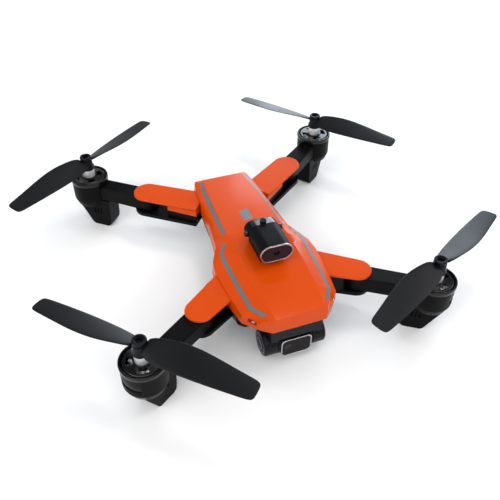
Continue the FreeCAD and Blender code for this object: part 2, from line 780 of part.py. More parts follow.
# ---- arm, foot and motor, drawn with the motor axis at the origin and the arm along -X ----
def arm():
    beam = [
        (-arm_reach, arm_width / 2), (-arm_reach, -arm_width / 2),
        (-cup_radius, -arm_neck_width / 2), (-cup_inner_radius, -arm_neck_width / 2),
        (-cup_inner_radius, arm_neck_width / 2), (-cup_radius, arm_neck_width / 2),
    ]
    bar = plan_prism(beam, arm_bottom_z, arm_top_z)
    long_edges = [e for e in bar.Edges if abs(e.Vertexes[0].Z - arm_top_z) < 1e-6
                  and abs(e.Vertexes[1].Z - arm_top_z) < 1e-6 and e.Length > 20]
    bar = bar.makeChamfer(1.0, long_edges)
    eye = post(eye_radius, arm_bottom_z, arm_top_z, -arm_reach, 0)
    bore = post(pin_radius + pin_clearance, 0, 40, -arm_reach, 0)
    wall = revolve([
        (cup_inner_radius, cup_seam_z), (cup_radius, cup_seam_z), (cup_radius, cup_rim_z - cup_band_height),
        (cup_band_radius, cup_rim_z - cup_band_height + 0.5), (cup_band_radius, cup_rim_z - 0.6),
        (cup_band_radius - 0.6, cup_rim_z), (cup_inner_radius, cup_rim_z),
    ])
    floor = post(cup_inner_radius, cup_seam_z, cup_floor_z)
    tube = post(tube_radius, cup_floor_z, bell_top_z - bell_plate - 0.4)
    shaft_way = post(shaft_radius + shaft_clearance, cup_seam_z + 0.8, 40)
    body = bar.fuse(eye).cut(post(cup_inner_radius, 0, 40)).fuse(wall).fuse(floor).fuse(tube)
    return body.cut(bore).cut(shaft_way).removeSplitter()


def foot():
    wide = cup_radius - 0.1
    bowl = revolve([
        (0, -2.0), (7.0, -2.0), (10.6, 1.2), (wide, cup_seam_z - 0.6), (wide, cup_seam_z), (0, cup_seam_z),
    ])
    top = min(cup_seam_z, arm_bottom_z)
    boot = side_prism([
        (8.0, 0.5), (-0.5, ground_z + 1.2), (-2.0, ground_z), (-foot_inboard + 2.3, ground_z),
        (-foot_inboard, ground_z + 1.6), (-foot_inboard - 0.8, ground_z + 6.0),
        (-foot_inboard - 1.6, top), (8.0, top),
    ], foot_half_width)
    shape = bowl.fuse(boot)
    for side in (1, -1):
        for step in range(3):
            x = -4.0 - step * vent_pitch
            y0 = side * (foot_half_width - 0.7)
            low, high = min(y0, y0 + side * 3), max(y0, y0 + side * 3)
            left, right = x - vent_width / 2, x + vent_width / 2
            shape = shape.cut(block(left, right, low, high, vent_bottom_z, vent_bottom_z + vent_height))
    return shape.cut(pod_light_shape(0.1)).removeSplitter()


def pod_light_shape(grow=0.0):
    """Lamp window in the outboard side of the foot's bowl."""
    section = [(9.4 - grow, 0.6 - grow), (13.5, 0.6 - grow), (13.5, 4.4 + grow), (9.4 - grow, 4.4 + grow)]
    ring = revolve(section)
    sector = block(4.0 - grow, 20, -7.5 - grow, 7.5 + grow, -5, 10)
    return ring.common(sector)


def pod_light():
    skin = revolve([(8.0, -1.5), (9.8, 0.2), (12.0, 5.6), (8.0, 5.6)])
    return pod_light_shape().common(skin)


def stator():
    """Wound iron ring on the bearing tube."""
    z0 = cup_floor_z + stator_lift
    core = post(stator_hub_radius, z0, z0 + stator_height)
    shape = core
    for index in range(stator_teeth):
        tooth = block(stator_hub_radius - 0.5, stator_radius, -1.5, 1.5, z0 + 0.6, z0 + stator_height - 0.6)
        tooth.rotate(Vector(0, 0, 0), Vector(0, 0, 1), 360.0 * index / stator_teeth)
        shape = shape.fuse(tooth)
    shape = shape.fuse(post(stator_hub_radius, cup_floor_z, z0))
    return shape.cut(post(tube_radius + 0.02, 0, 40)).removeSplitter()


def bell():
    skirt = post(bell_radius, bell_skirt_z, bell_top_z)
    top_rim = [e for e in skirt.Edges if all(abs(v.Z - bell_top_z) < 1e-6 for v in e.Vertexes) and e.Closed]
    skirt = skirt.makeFillet(0.7, top_rim[:1])
    hollow = post(bell_radius - bell_wall, bell_skirt_z - 1, bell_top_z - bell_plate)
    shape = skirt.cut(hollow)
    low, high = bell_window_inner, bell_window_outer
    window = revolve([(low, 10), (high, 10), (high, 30), (low, 30)])
    sector = plan_prism([(0, 0), (20, -8.2), (20, 8.2)], 10, 30)
    for index in range(bell_windows):
        cut = window.common(sector)
        cut.rotate(Vector(0, 0, 0), Vector(0, 0, 1), 45 + 360 / bell_windows * index)
        shape = shape.cut(cut)
    return shape.cut(post(shaft_radius, 0, 40)).removeSplitter()


def motor_shaft():
    """Shaft with the bright collar that carries the propeller."""
    shaft = post(shaft_radius, cup_seam_z + 1.2, propeller_hub_top_z - propeller_socket - 1.0)
    collar = post(collar_radius, bell_top_z, collar_top_z)
    collar = collar.fuse(post(spigot_radius, collar_top_z, collar_top_z + spigot_height))
    return collar.fuse(shaft)


def blade(turns_left_hand):
    """One blade along +X, thin, cambered and twisted."""
    hand = 1.0 if turns_left_hand else -1.0
    sections = []
    for radius, chord, pitch, sweep in blade_rows:
        angle = math.radians(pitch) * hand
        thick = 1.5 if radius < 12 else 1.0
        if radius > 60:
            thick = 0.7
        points = []
        for along, up in blade_outline:
            y = along * chord + sweep * hand
            z = up * thick
            points.append(Vector(radius, y * math.cos(angle) - z * math.sin(angle),
                                 blade_z + y * math.sin(angle) + z * math.cos(angle)))
        sections.append(polygon(points))
    return Part.makeLoft(sections, True, True)


def propeller(corner):
    hand = turns_left[corner]
    hub = post(propeller_hub_radius, collar_top_z + 0.4, propeller_hub_top_z)
    crown = [e for e in hub.Edges if e.Closed and abs(e.Vertexes[0].Z - propeller_hub_top_z) < 1e-6]
    hub = hub.makeFillet(1.2, crown[:1])
    one = blade(hand)
    other = one.copy()
    other.rotate(Vector(0, 0, 0), Vector(0, 0, 1), 180)
    shape = hub.fuse(one).fuse(other)
    shape = shape.cut(post(propeller_socket_radius, propeller_hub_top_z - propeller_socket, 60))
    shape = shape.cut(post(shaft_radius, 0, propeller_hub_top_z - propeller_socket - 1.0))
    shape = shape.cut(post(spigot_radius + 0.03, 0, collar_top_z + spigot_height))
    shape.rotate(Vector(0, 0, 0), Vector(0, 0, 1), blade_angles[corner])
    shape.translate(motor_place(corner))
    return shape


# ---- write the pieces ---------------------------------------------------------------
def save(name, shape):
    shape.exportStep("parts/%s.step" % name)


def build_body():
    save("top_shell", top_shell())
    save("bottom_shell", bottom_shell())
    save("flank_stripes", flank_stripes())
    save("nose_lights", nose_lights())
    save("main_board", main_board())
    save("contact_block", contact_block())
    save("belly_window", belly_window())
    save("hinge_pins", hinge_pins())
    save("shell_screws", shell_screws())
    save("sensor_housing", sensor_housing())
    save("sensor_bezel", sensor_bezel())
    save("sensor_window", sensor_window())
    save("sensor_knobs", sensor_knobs())


def build_camera():
    save("camera_mount", camera_mount())
    save("tilt_motor", tilt_motor())
    save("camera_head", camera_head())
    save("camera_trim", camera_trim())
    save("camera_plate", camera_plate())
    save("camera_lens", camera_lens())


def build_battery():
    save("battery_case", battery_case())
    save("battery_cells", battery_cells())
    save("battery_lid", battery_lid())
    save("battery_stripes", battery_stripes())
    save("deck_inlay", deck_label())
    save("power_button", power_button())
    save("battery_latch", battery_latch())


def build_corner(corner):
    save("arm_" + corner, to_corner(arm(), corner))
    save("foot_" + corner, to_corner(foot(), corner))
    save("pod_light_" + corner, to_corner(pod_light(), corner))
    save("stator_" + corner, to_corner(stator(), corner))
    save("motor_bell_" + corner, to_corner(bell(), corner))
    save("motor_shaft_" + corner, to_corner(motor_shaft(), corner))
    save("propeller_" + corner, propeller(corner))


os.makedirs("parts", exist_ok=True)
build_body()
build_camera()
build_battery()
for corner_name in corners:
    build_corner(corner_name)
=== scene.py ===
"""Looks of a small folding camera quadcopter, laid out as a Blender add-on and run as a script."""

import json
import math

import bmesh
import bpy
from bpy.props import FloatProperty, FloatVectorProperty, IntProperty, PointerProperty
from mathutils import Matrix, Vector
from mathutils.bvhtree import BVHTree

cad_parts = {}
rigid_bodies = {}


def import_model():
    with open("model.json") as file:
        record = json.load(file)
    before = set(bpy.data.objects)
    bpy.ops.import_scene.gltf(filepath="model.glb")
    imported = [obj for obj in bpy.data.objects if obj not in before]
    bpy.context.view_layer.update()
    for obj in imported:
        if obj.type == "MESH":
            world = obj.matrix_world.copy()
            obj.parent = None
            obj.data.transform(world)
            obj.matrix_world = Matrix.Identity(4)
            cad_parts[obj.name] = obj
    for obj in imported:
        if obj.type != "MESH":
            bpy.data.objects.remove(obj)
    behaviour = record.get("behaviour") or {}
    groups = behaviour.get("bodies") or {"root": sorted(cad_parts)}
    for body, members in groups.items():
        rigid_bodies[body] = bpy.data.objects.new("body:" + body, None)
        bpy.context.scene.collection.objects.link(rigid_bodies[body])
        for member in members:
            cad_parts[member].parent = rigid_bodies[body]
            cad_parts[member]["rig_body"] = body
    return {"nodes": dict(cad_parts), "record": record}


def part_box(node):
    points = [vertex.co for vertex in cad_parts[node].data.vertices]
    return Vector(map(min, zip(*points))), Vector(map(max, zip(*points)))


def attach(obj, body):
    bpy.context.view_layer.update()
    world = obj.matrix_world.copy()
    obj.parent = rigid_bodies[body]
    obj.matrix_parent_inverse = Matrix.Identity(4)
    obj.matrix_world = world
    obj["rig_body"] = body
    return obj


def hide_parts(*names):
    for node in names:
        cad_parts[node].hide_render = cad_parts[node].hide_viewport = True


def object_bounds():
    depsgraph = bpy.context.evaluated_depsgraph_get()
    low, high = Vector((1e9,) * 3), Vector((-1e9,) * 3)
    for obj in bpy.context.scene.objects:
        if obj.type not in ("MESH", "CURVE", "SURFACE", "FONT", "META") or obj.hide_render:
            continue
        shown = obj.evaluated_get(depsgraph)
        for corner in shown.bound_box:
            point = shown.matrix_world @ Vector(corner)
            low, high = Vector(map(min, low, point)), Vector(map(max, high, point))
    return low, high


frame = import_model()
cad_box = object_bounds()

bl_info = {
    "name": "Folding Camera Quadcopter",
    "version": (1, 0, 0),
    "blender": (4, 5, 0),
    "location": "View3D > Sidebar > Quadcopter",
    "description": "Shells, arms, motors, propellers, sensors and materials of a small folding quadcopter",
    "category": "Object",
}

nodes = frame["nodes"]
MM = 0.001
CORNERS = ("front_left", "front_right", "rear_left", "rear_right")


# ---- settings -----------------------------------------------------------------------
def length(name, description, default, low=0.0, high=1.0):
    return FloatProperty(name=name, description=description, default=default, min=low, max=high,
                         subtype="DISTANCE", unit="LENGTH", precision=5)


def colour(name, description, default):
    return FloatVectorProperty(name=name, description=description, default=default, min=0.0, max=1.0,
                               size=3, subtype="COLOR")


class QuadShapeSettings(bpy.types.PropertyGroup):
    """Sizes that a user may change"""

    shell_round: length("Shell rounding", "Width of the rounded edges of the orange shells", 0.0008)
    arm_round: length("Arm rounding", "Width of the rounded edges of the arms and feet", 0.0007)
    fine_round: length("Fine rounding", "Width of the rounded edges of small parts", 0.00025)
    blade_root_chord: length("Blade root chord", "Width of a blade beside its hub", 0.0092)
    blade_wide_chord: length("Blade widest chord", "Width of a blade at its widest", 0.0168)
    wire_thickness: length("Wire thickness", "Thickness of the wire wound round a motor's teeth", 0.0007)
    bell_lift: length("Bell lift", "How far the cover of a motor bell stands up towards its ring", 0.0009)
    hood_slope: length("Hood slope", "How far the rear end of the sensor hood's top falls", 0.0013)
    round_segments: IntProperty(name="Rounding segments", description="Faces across a rounded edge",
                                default=3, min=1, max=6)


class QuadColourSettings(bpy.types.PropertyGroup):
    """Colours that a user may change"""

    shell: colour("Shell", "Glossy plastic of the upper shells", (0.62, 0.062, 0.0012))
    plastic: colour("Black plastic", "Satin plastic of the arms and the tub", (0.0028, 0.0028, 0.0031))
    gloss: colour("Gloss black", "Polished plastic of the motor rings", (0.005, 0.005, 0.0055))
    stripe: colour("Stripe", "Inlaid stripes and the deck inlay", (0.135, 0.135, 0.14))
    blade: colour("Blade", "Satin nylon of the propellers", (0.0022, 0.0025, 0.0036))
    window: colour("Window", "Dark glass of the obstacle sensor", (0.018, 0.017, 0.024))
    floor: colour("Floor", "Studio floor and backdrop", (0.95, 0.95, 0.95))


# ---- modelling helpers --------------------------------------------------------------
def select_only(piece):
    if bpy.context.object and bpy.context.object.mode != "OBJECT":
        bpy.ops.object.mode_set(mode="OBJECT")
    bpy.ops.object.select_all(action="DESELECT")
    piece.select_set(True)
    bpy.context.view_layer.objects.active = piece


def edit(piece, mode="EDGE"):
    select_only(piece)
    bpy.ops.object.mode_set(mode="EDIT")
    bpy.ops.mesh.select_mode(type=mode)
    bpy.ops.mesh.select_all(action="DESELECT")
    return bmesh.from_edit_mesh(piece.data)


def leave_edit(piece):
    bmesh.update_edit_mesh(piece.data)
    bpy.ops.object.mode_set(mode="OBJECT")


def pick_faces(piece, test):
    """Selects the faces that pass a test, in edit mode."""
    mesh = bmesh.from_edit_mesh(piece.data)
    for face in mesh.faces:
        face.select_set(bool(test(face)))
    bmesh.update_edit_mesh(piece.data)


def pick_points(piece, test):
    """Enters edit mode and selects the points whose place passes a test."""
    mesh = edit(piece, "VERT")
    for vert in mesh.verts:
        vert.select_set(test(vert.co))
    mesh.select_flush(True)
    bmesh.update_edit_mesh(piece.data)


def smooth(piece, degrees=35):
    select_only(piece)
    bpy.ops.object.shade_smooth_by_angle(angle=math.radians(degrees))


def settle(piece):
    """Puts an object's place into its mesh."""
    select_only(piece)
    bpy.ops.object.transform_apply(location=True, rotation=True, scale=True)


def remove(pieces):
    for piece in pieces:
        bpy.data.objects.remove(piece)


def lifted(axis, height):
    """Takes a piece that stands on the origin up an axis."""
    return Matrix.Translation((axis.x, axis.y, height))


def face_tree(node):
    data = nodes[node].data
    return BVHTree.FromPolygons([v.co for v in data.vertices], [p.vertices[:] for p in data.polygons])


def merged_copy(node, name):
    """A closed copy of a CAD node, with its flat faces whole again."""
    source = nodes[node]
    piece = bpy.data.objects.new(name, source.data.copy())
    bpy.context.scene.collection.objects.link(piece)
    piece.data.materials.clear()
    edit(piece, "VERT")
    bpy.ops.mesh.select_all(action="SELECT")
    bpy.ops.mesh.remove_doubles(threshold=2e-6)
    bpy.ops.mesh.select_all(action="SELECT")
    bpy.ops.mesh.dissolve_limited(angle_limit=math.radians(0.6), use_dissolve_boundaries=False)
    bpy.ops.object.mode_set(mode="OBJECT")
    return piece


def round_edges(piece, width, segments, sharp=28, shortest=1.5 * MM, keep_clear=(), clear_by=0.4 * MM):
    """Rounds the outward edges of a piece, leaving those beside the listed nodes sharp."""
    trees = [face_tree(node) for node in keep_clear]
    mesh = edit(piece, "EDGE")
    limit = math.radians(sharp)
    for edge in mesh.edges:
        if len(edge.link_faces) != 2 or not edge.is_convex or edge.calc_length() < shortest:
            continue
        if edge.calc_face_angle(0.0) < limit:
            continue
        middle = (edge.verts[0].co + edge.verts[1].co) / 2
        near = (tree.find_nearest(middle, clear_by)[0] for tree in trees)
        if any(point is not None for point in near):
            continue
        edge.select_set(True)
    bpy.ops.mesh.bevel(offset=width, offset_type="OFFSET", segments=segments, profile=0.5,
                       affect="EDGES", clamp_overlap=True, miter_outer="SHARP")
    leave_edit(piece)
    smooth(piece)
    even = piece.modifiers.new("even", "WEIGHTED_NORMAL")
    even.keep_sharp = True
    bpy.ops.object.modifier_apply(modifier="even")
    return piece


def stand_for(piece, node, look=None):
    """The piece rides with its CAD node, keeps its slot and is shown in its place."""
    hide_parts(node)
    return fit_on(piece, node, node_slot(node), look)


def fit_on(piece, node, slot, look=None):
    """The piece rides with a CAD node and takes the finish of a material slot, or a look of its own."""
    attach(piece, nodes[node]["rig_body"])
    piece.data.materials.clear()
    piece.data.materials.append(finish(look or slot))
    return piece


def twin(piece, name, place):
    """A copy with its own mesh, put somewhere else."""
    other = piece.copy()
    other.data = piece.data.copy()
    other.name = name
    bpy.context.scene.collection.objects.link(other)
    other.data.transform(place)
    return other


def join(pieces, name):
    select_only(pieces[0])
    for piece in pieces[1:]:
        piece.select_set(True)
    bpy.ops.object.join()
    pieces[0].name = name
    return pieces[0]


def soften(piece, width, segments=2, sharp=35, convex_only=True):
    """Bevels the sharp edges of a piece modelled here."""
    mesh = edit(piece, "EDGE")
    for edge in mesh.edges:
        if len(edge.link_faces) == 2 and edge.calc_face_angle(0.0) > math.radians(sharp):
            edge.select_set(edge.is_convex or not convex_only)
    bpy.ops.mesh.bevel(offset=width, segments=segments, affect="EDGES")
    leave_edit(piece)
    smooth(piece, 40)
    return piece


def in_mm(*rows):
    return [tuple(value * MM for value in row) for row in rows]


def turned(name, radius, height, steps, sides=48):
    """A turned piece standing on the origin; each step moves its end face up or down and resizes it."""
    bpy.ops.object.select_all(action="DESELECT")
    bpy.ops.mesh.primitive_cylinder_add(vertices=sides, radius=radius, depth=height, end_fill_type="NGON",
                                        location=(0, 0, height / 2))
    piece = bpy.context.object
    piece.name = name
    settle(piece)
    edit(piece, "FACE")
    z = height
    for rise, new_radius in steps:
        end = Vector((0, 0, z))
        pick_faces(piece, lambda face: face.normal.z > 0.9 and (face.calc_center_median() - end).length < 1e-6)
        bpy.ops.mesh.extrude_region_move(TRANSFORM_OT_translate={"value": (0, 0, rise)})
        z += rise
        bpy.ops.transform.resize(value=(new_radius / radius, new_radius / radius, 1), center_override=(0, 0, z))
        radius = new_radius
    leave_edit(piece)
    return piece


def ring(name, inner, outer, low, high, sides=64):
    """A flat ring about the Z axis."""
    bpy.ops.object.select_all(action="DESELECT")
    bpy.ops.mesh.primitive_circle_add(vertices=sides, radius=inner, fill_type="NOTHING", location=(0, 0, low))
    piece = bpy.context.object
    piece.name = name
    settle(piece)
    edit(piece, "EDGE")
    bpy.ops.mesh.select_all(action="SELECT")
    bpy.ops.mesh.extrude_region_move(TRANSFORM_OT_translate={"value": (0, 0, 0)})
    bpy.ops.transform.resize(value=(outer / inner, outer / inner, 1), center_override=(0, 0, low))
    bpy.ops.mesh.select_all(action="SELECT")
    bpy.ops.mesh.extrude_region_move(TRANSFORM_OT_translate={"value": (0, 0, high - low)})
    bpy.ops.mesh.select_all(action="SELECT")
    bpy.ops.mesh.normals_make_consistent(inside=False)
    leave_edit(piece)
    return piece


def facing(direction, place):
    """Takes a piece that stands on the origin to a place, with its top turned to a direction."""
    turn = Vector(direction).to_track_quat("Z", "Y").to_matrix().to_4x4()
    return Matrix.Translation(place) @ turn


def node_slot(node):
    for part in frame["record"]["subparts"]:
        if part.get("node", part.get("name")) == node:
            return part["material_slot"]
    raise ValueError("no material slot is recorded for " + node)


def corner_axis(corner):
    """The motor's axis at a corner."""
    low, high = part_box("motor_shaft_" + corner)
    return Vector(((low.x + high.x) / 2, (low.y + high.y) / 2, 0))


def pin_axis(corner):
    """The fold pin's axis at a corner."""
    across = -1 if corner.endswith("left") else 1
    along = -1 if corner.startswith("front") else 1
    own = [v.co for v in nodes["hinge_pins"].data.vertices if v.co.x * across > 0 and v.co.y * along > 0]
    middle = sum(own, Vector()) / len(own)
    return Vector((middle.x, middle.y, 0))


def blade_reach(node, axis):
    """From a propeller's axis to the middle of one blade's tip."""
    spans = [v.co.xy - axis.xy for v in nodes[node].data.vertices]
    far = max(spans, key=lambda span: span.length)
    tip = [span for span in spans if span.length > far.length - 0.5 * MM and span.dot(far) > 0]
    middle = sum(tip, Vector((0, 0))) / len(tip)
    return middle.to_3d().normalized() * far.length


# ---- shader groups ------------------------------------------------------------------
def new_group(name, inputs, outputs):
    group = bpy.data.node_groups.new(name, "ShaderNodeTree")
    for label, kind, default in inputs:
        socket = group.interface.new_socket(name=label, in_out="INPUT", socket_type=kind)
        if default is not None:
            socket.default_value = default
    for label, kind in outputs:
        group.interface.new_socket(name=label, in_out="OUTPUT", socket_type=kind)
    start = group.nodes.new("NodeGroupInput")
    end = group.nodes.new("NodeGroupOutput")
    return group, start, end


def moulded_group():
    """Fine spark-eroded grain with slow cloudy changes of gloss and tone."""
    group, start, end = new_group(
        "moulded_grain",
        [("Grain Scale", "NodeSocketFloat", 2600.0), ("Cloud Scale", "NodeSocketFloat", 45.0),
         ("Roughness Low", "NodeSocketFloat", 0.3), ("Roughness High", "NodeSocketFloat", 0.4),
         ("Dark", "NodeSocketColor", (0.5, 0.5, 0.5, 1)), ("Light", "NodeSocketColor", (0.5, 0.5, 0.5, 1))],
        [("Colour", "NodeSocketColor"), ("Roughness", "NodeSocketFloat"), ("Height", "NodeSocketFloat")])
    n, link = group.nodes, group.links.new
    place = n.new("ShaderNodeTexCoord")
    grain = n.new("ShaderNodeTexNoise")
    grain.inputs["Detail"].default_value = 2.0
    link(place.outputs["Object"], grain.inputs["Vector"])
    link(start.outputs["Grain Scale"], grain.inputs["Scale"])
    cloud = n.new("ShaderNodeTexNoise")
    cloud.inputs["Detail"].default_value = 4.0
    link(place.outputs["Object"], cloud.inputs["Vector"])
    link(start.outputs["Cloud Scale"], cloud.inputs["Scale"])
    both = n.new("ShaderNodeMath")
    both.operation = "MULTIPLY_ADD"
    link(grain.outputs["Fac"], both.inputs[0])
    both.inputs[1].default_value = 0.35
    link(cloud.outputs["Fac"], both.inputs[2])
    spread = n.new("ShaderNodeMapRange")
    spread.inputs["From Min"].default_value = 0.45
    spread.inputs["From Max"].default_value = 0.9
    link(both.outputs[0], spread.inputs["Value"])
    link(start.outputs["Roughness Low"], spread.inputs["To Min"])
    link(start.outputs["Roughness High"], spread.inputs["To Max"])
    tint = n.new("ShaderNodeMix")
    tint.data_type = "RGBA"
    link(cloud.outputs["Fac"], tint.inputs["Factor"])
    link(start.outputs["Dark"], tint.inputs["A"])
    link(start.outputs["Light"], tint.inputs["B"])
    link(tint.outputs["Result"], end.inputs["Colour"])
    link(spread.outputs["Result"], end.inputs["Roughness"])
    link(grain.outputs["Fac"], end.inputs["Height"])
    return group


def handled_group():
    """A few short fine scratches, as a mask."""
    group, start, end = new_group(
        "handling_marks",
        [("Scratch Scale", "NodeSocketFloat", 60.0), ("Amount", "NodeSocketFloat", 0.5)],
        [("Mask", "NodeSocketFloat")])
    n, link = group.nodes, group.links.new
    place = n.new("ShaderNodeTexCoord")
    turn = n.new("ShaderNodeMapping")
    turn.inputs["Rotation"].default_value = (0.4, 0.2, 0.7)
    turn.inputs["Scale"].default_value = (1.0, 14.0, 3.0)
    link(place.outputs["Object"], turn.inputs["Vector"])
    streak = n.new("ShaderNodeTexNoise")
    streak.inputs["Detail"].default_value = 3.0
    link(turn.outputs["Vector"], streak.inputs["Vector"])
    link(start.outputs["Scratch Scale"], streak.inputs["Scale"])
    thin = n.new("ShaderNodeMapRange")
    thin.inputs["From Min"].default_value = 0.66
    thin.inputs["From Max"].default_value = 0.74
    link(streak.outputs["Fac"], thin.inputs["Value"])
    patch = n.new("ShaderNodeTexNoise")
    patch.inputs["Scale"].default_value = 30.0
    link(place.outputs["Object"], patch.inputs["Vector"])
    worn = n.new("ShaderNodeMapRange")
    worn.inputs["From Min"].default_value = 0.5
    worn.inputs["From Max"].default_value = 0.65
    link(patch.outputs["Fac"], worn.inputs["Value"])
    cross = n.new("ShaderNodeMath")
    cross.operation = "MULTIPLY"
    link(thin.outputs["Result"], cross.inputs[0])
    link(worn.outputs["Result"], cross.inputs[1])
    final = n.new("ShaderNodeMath")
    final.operation = "MULTIPLY"
    link(cross.outputs[0], final.inputs[0])
    link(start.outputs["Amount"], final.inputs[1])
    link(final.outputs[0], end.inputs["Mask"])
    return group


def ready_group(name, maker):
    return bpy.data.node_groups.get(name) or maker()


# ---- materials ----------------------------------------------------------------------
def shade(colour_value, factor):
    return tuple(min(1.0, part * factor) for part in colour_value) + (1.0,)


def moulded(name, base, low, high, grain=2600.0, depth=0.05, distance=0.00004, coat=0.0, coat_rough=0.1,
            marks=0.3, spread=0.12, specular=0.5, cloud=45.0, metallic=0.0):
    """Plastic or coated metal with grain, cloudy gloss and handling marks."""
    material = bpy.data.materials.new(name)
    material.use_nodes = True
    n, link = material.node_tree.nodes, material.node_tree.links.new
    surface = n["Principled BSDF"]
    skin = n.new("ShaderNodeGroup")
    skin.node_tree = ready_group("moulded_grain", moulded_group)
    skin.inputs["Grain Scale"].default_value = grain
    skin.inputs["Cloud Scale"].default_value = cloud
    skin.inputs["Roughness Low"].default_value = low
    skin.inputs["Roughness High"].default_value = high
    skin.inputs["Dark"].default_value = shade(base, 1.0 - spread)
    skin.inputs["Light"].default_value = shade(base, 1.0 + spread)
    wear = n.new("ShaderNodeGroup")
    wear.node_tree = ready_group("handling_marks", handled_group)
    wear.inputs["Amount"].default_value = marks
    paler = n.new("ShaderNodeMix")
    paler.data_type = "RGBA"
    link(wear.outputs["Mask"], paler.inputs["Factor"])
    link(skin.outputs["Colour"], paler.inputs["A"])
    paler.inputs["B"].default_value = shade([part + 0.015 for part in base], 1.5)
    link(paler.outputs["Result"], surface.inputs["Base Color"])
    rougher = n.new("ShaderNodeMath")
    rougher.operation = "MULTIPLY_ADD"
    link(wear.outputs["Mask"], rougher.inputs[0])
    rougher.inputs[1].default_value = 0.3
    link(skin.outputs["Roughness"], rougher.inputs[2])
    link(rougher.outputs[0], surface.inputs["Roughness"])
    bump = n.new("ShaderNodeBump")
    bump.inputs["Strength"].default_value = depth
    bump.inputs["Distance"].default_value = distance
    link(skin.outputs["Height"], bump.inputs["Height"])
    link(bump.outputs["Normal"], surface.inputs["Normal"])
    surface.inputs["Metallic"].default_value = metallic
    surface.inputs["Coat Weight"].default_value = coat
    surface.inputs["Coat Roughness"].default_value = coat_rough
    surface.inputs["Specular IOR Level"].default_value = specular
    return material


def glassy(name, base, low, high, coat=0.3, specular=0.3):
    """Dark moulded glass with a thin polished face."""
    return moulded(name, base, low, high, grain=900.0, depth=0.01, coat=coat, coat_rough=0.03, marks=0.03,
                   spread=0.2, specular=specular)


def lined_metal(name, base, low, high, across, scale, metallic=1.0):
    """Metal with fine turned or wound lines that cross one axis."""
    material = moulded(name, base, low, high, grain=3200.0, depth=0.04, marks=0.15, spread=0.15,
                       metallic=metallic)
    n, link = material.node_tree.nodes, material.node_tree.links.new
    place = n.new("ShaderNodeTexCoord")
    wave = n.new("ShaderNodeTexWave")
    wave.bands_direction = across
    wave.inputs["Scale"].default_value = scale
    wave.inputs["Distortion"].default_value = 0.6
    wave.inputs["Detail"].default_value = 1.0
    link(place.outputs["Object"], wave.inputs["Vector"])
    bump = n.new("ShaderNodeBump")
    bump.inputs["Strength"].default_value = 0.35
    bump.inputs["Distance"].default_value = 0.00008
    link(wave.outputs["Fac"], bump.inputs["Height"])
    link(bump.outputs["Normal"], n["Principled BSDF"].inputs["Normal"])
    return material


def board_material(name, mask):
    """Solder mask with copper runs."""
    material = moulded(name, mask, 0.3, 0.4, marks=0.0)
    n, link = material.node_tree.nodes, material.node_tree.links.new
    place = n.new("ShaderNodeTexCoord")
    runs = n.new("ShaderNodeTexBrick")
    runs.inputs["Scale"].default_value = 320.0
    runs.inputs["Mortar Size"].default_value = 0.04
    runs.inputs["Color1"].default_value = shade(mask, 1.0)
    runs.inputs["Color2"].default_value = (0.010, 0.075, 0.03, 1)
    runs.inputs["Mortar"].default_value = (0.35, 0.25, 0.07, 1)
    link(place.outputs["Object"], runs.inputs["Vector"])
    link(runs.outputs["Color"], n["Principled BSDF"].inputs["Base Color"])
    return material


